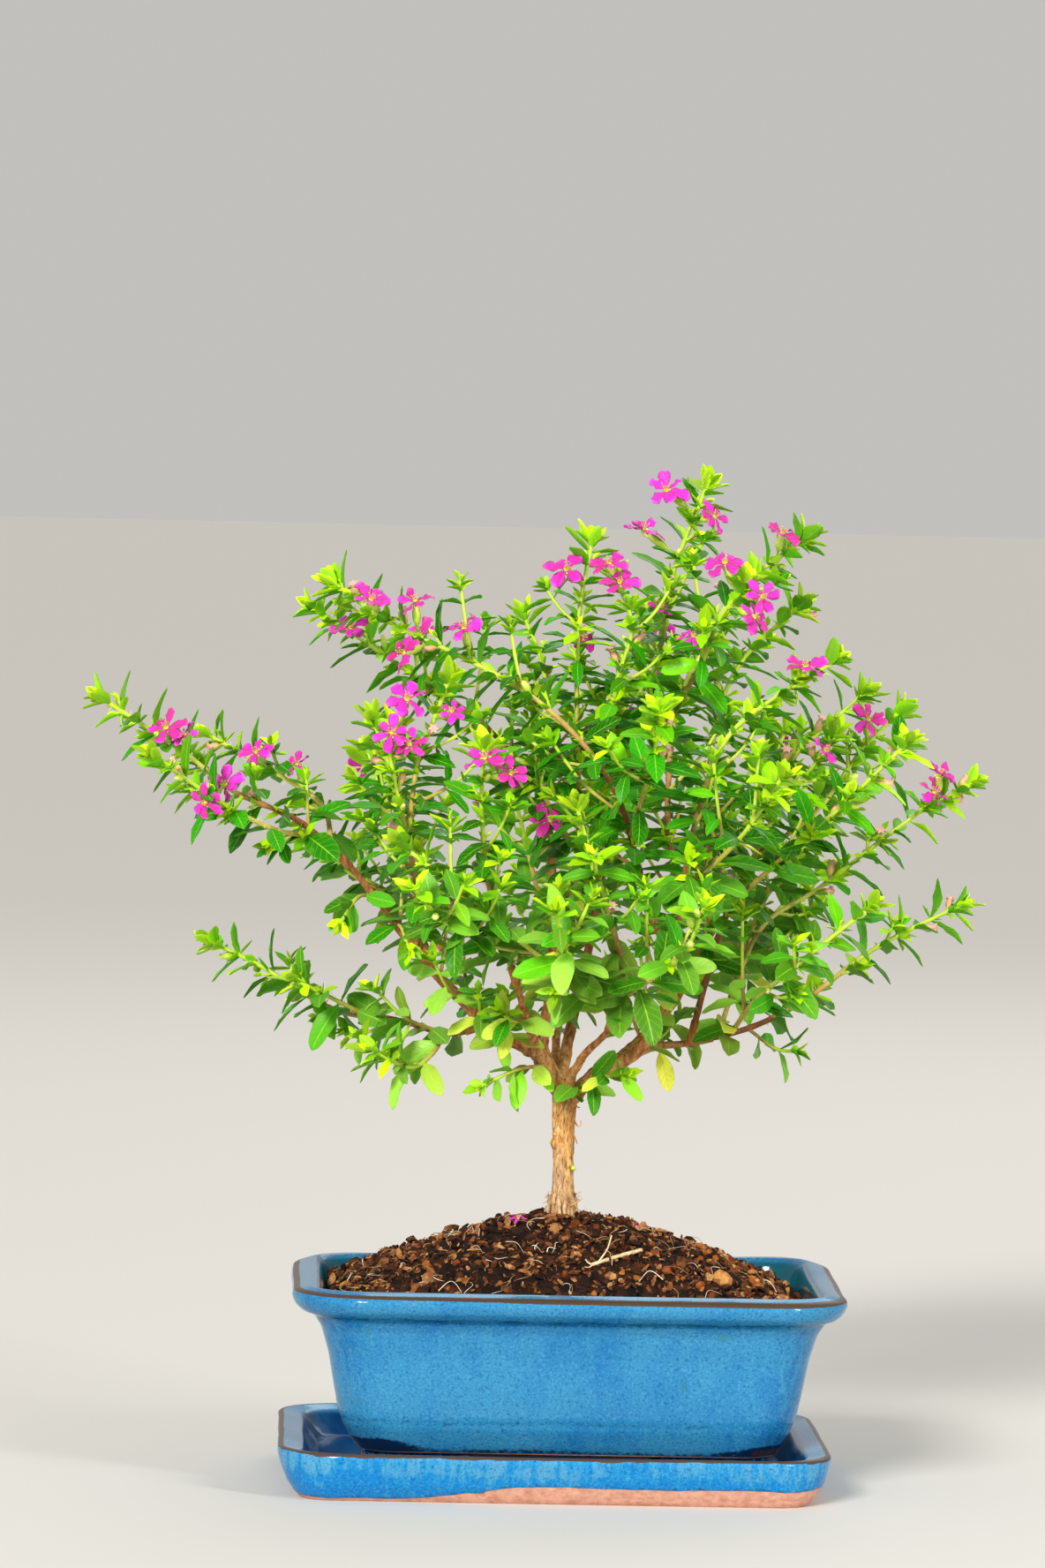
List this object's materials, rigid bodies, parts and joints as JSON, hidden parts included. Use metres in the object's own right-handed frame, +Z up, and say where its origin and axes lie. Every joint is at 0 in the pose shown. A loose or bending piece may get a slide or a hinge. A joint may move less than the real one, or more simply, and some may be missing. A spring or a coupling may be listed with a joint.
{
  "type": "cuphea bonsai",
  "caption": "Flowering cuphea bonsai with a slim trunk, leafy shoots and magenta blooms, in a glazed rectangular footed pot of soil on a matching saucer.",
  "frame": {"origin": "centre of the saucer's flat underside", "axes": "+Z up along the tree, the pictured front faces -Y, +X to the right along the pot's long side"},
  "size_m": [0.2471, 0.1966, 0.2775],
  "materials": {
    "glaze": "gloss",
    "screen": "matte",
    "soil": "matte",
    "bark": "matte",
    "foliage": "satin",
    "petal": "matte"
  },
  "bodies": {
    "root": {"saucer": "glaze", "pot": "glaze", "drain_screen_left": "screen", "drain_screen_right": "screen", "soil": "soil", "trunk": "bark", "spray_far_left": "foliage", "spray_low_left": "foliage", "spray_left_mid": "foliage", "spray_upper_left": "foliage", "spray_left_back_high": "foliage", "spray_leader": "foliage", "spray_top": "foliage", "spray_right_leader": "foliage", "spray_right_high": "foliage", "spray_right_front": "foliage", "spray_right_mid": "foliage", "spray_right_reach": "foliage", "spray_front": "foliage", "spray_front_left": "foliage", "spray_back": "foliage", "spray_back_left": "foliage", "spray_back_right": "foliage", "bloom_top_crown": "petal", "bloom_top_side": "petal", "bloom_top_left": "petal", "bloom_top_low": "petal", "bloom_top_back": "petal", "bloom_centre_pair": "petal", "bloom_leader_high": "petal", "bloom_leader_mid": "petal", "bloom_leader_front": "petal", "bloom_right_leader_tip": "petal", "bloom_right_leader_front": "petal", "bloom_right_leader_low": "petal", "bloom_right_leader_pair": "petal", "bloom_upper_left_tip": "petal", "bloom_upper_left_side": "petal", "bloom_upper_left_low": "petal", "bloom_upper_left_mid": "petal", "bloom_left_high": "petal", "bloom_left_high_back": "petal", "bloom_inner_left": "petal", "bloom_left_mid_large": "petal", "bloom_left_mid_pair": "petal", "bloom_left_mid_side": "petal", "bloom_far_left_pair": "petal", "bloom_far_left_low": "petal", "bloom_far_left_edge": "petal", "bloom_far_left_back": "petal", "bloom_far_left_inner": "petal", "bloom_front_pair": "petal", "bloom_right_front_tip": "petal", "bloom_right_mid_tip": "petal", "bloom_right_mid_face": "petal", "bloom_right_reach_pair": "petal", "bloom_back_right_high": "petal", "bloom_back_high": "petal", "bloom_back_left_high": "petal", "bloom_back_low": "petal"}
  },
  "joints": []
}
